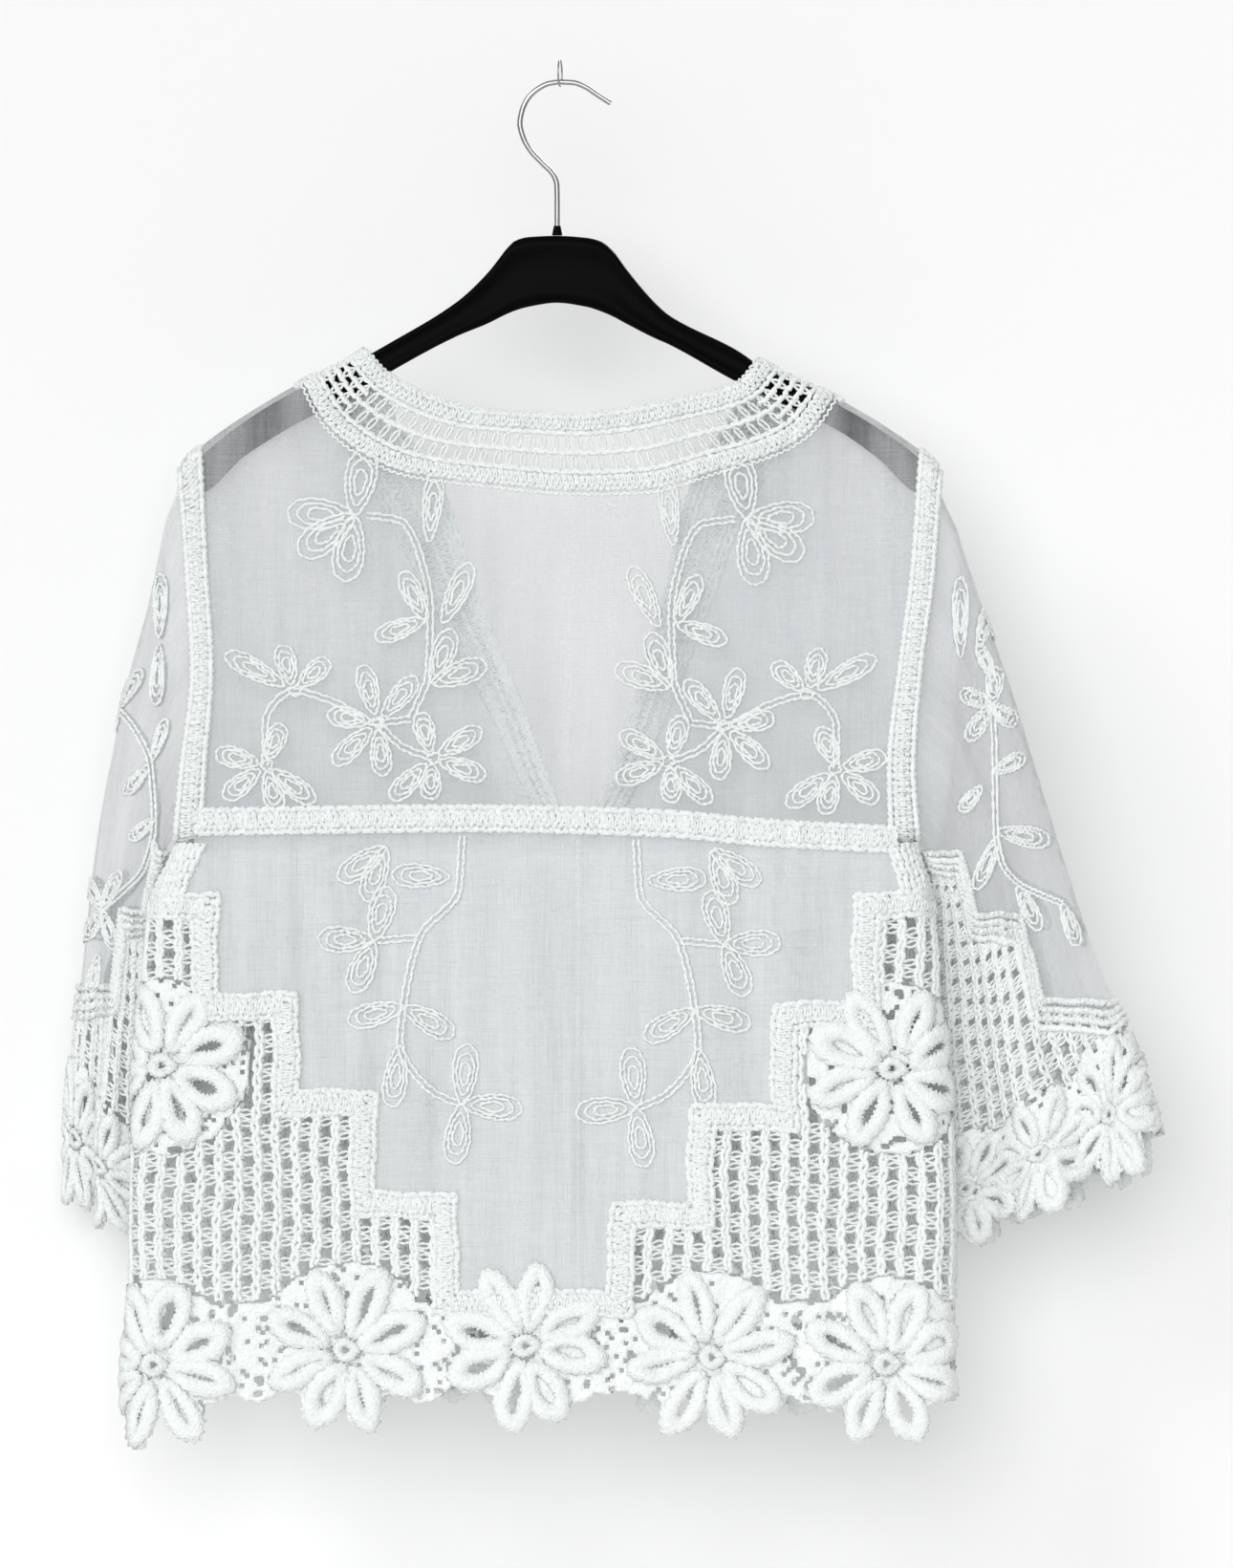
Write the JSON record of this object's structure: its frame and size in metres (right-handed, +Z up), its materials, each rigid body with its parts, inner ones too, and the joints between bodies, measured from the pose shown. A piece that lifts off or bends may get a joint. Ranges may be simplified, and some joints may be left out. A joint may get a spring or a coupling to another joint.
{
  "type": "macrame cardigan on a hanger",
  "caption": "Sheer gauze cardigan with wide stepped macrame lace, crochet neckband and bell sleeves, hanging on a moulded hanger by its wire hook and a small ring.",
  "frame": {"origin": "the top of the small ring's hole, where the ring is held", "axes": "+Z up, +X to the right when the back of the cardigan is looked at, +Y through the cardigan from its back to its front"},
  "size_m": [0.6261, 0.1337, 0.789],
  "materials": {
    "gauze": "sheer woven cotton gauze",
    "crochet": "matt crocheted cotton yarn",
    "hanger_plastic": "satin moulded",
    "hook_steel": "bright drawn wire"
  },
  "bodies": {
    "root": {"hanger_body": "hanger_plastic", "hook_collar": "hanger_plastic", "hanger_hook": "hook_steel", "hanging_ring": "hook_steel", "back_yoke": "gauze", "back_lower": "gauze", "front_left": "gauze", "front_right": "gauze", "sleeve_left": "gauze", "sleeve_right": "gauze", "yoke_tape": "crochet", "back_lace": "crochet", "front_lace_left": "crochet", "front_lace_right": "crochet", "side_left": "crochet", "side_right": "crochet", "neckband_back": "crochet", "neckband_front_left": "crochet", "neckband_front_right": "crochet", "armhole_tape_left": "crochet", "armhole_tape_right": "crochet", "cuff_left_back": "crochet", "cuff_left_front": "crochet", "cuff_right_back": "crochet", "cuff_right_front": "crochet"}
  },
  "joints": []
}
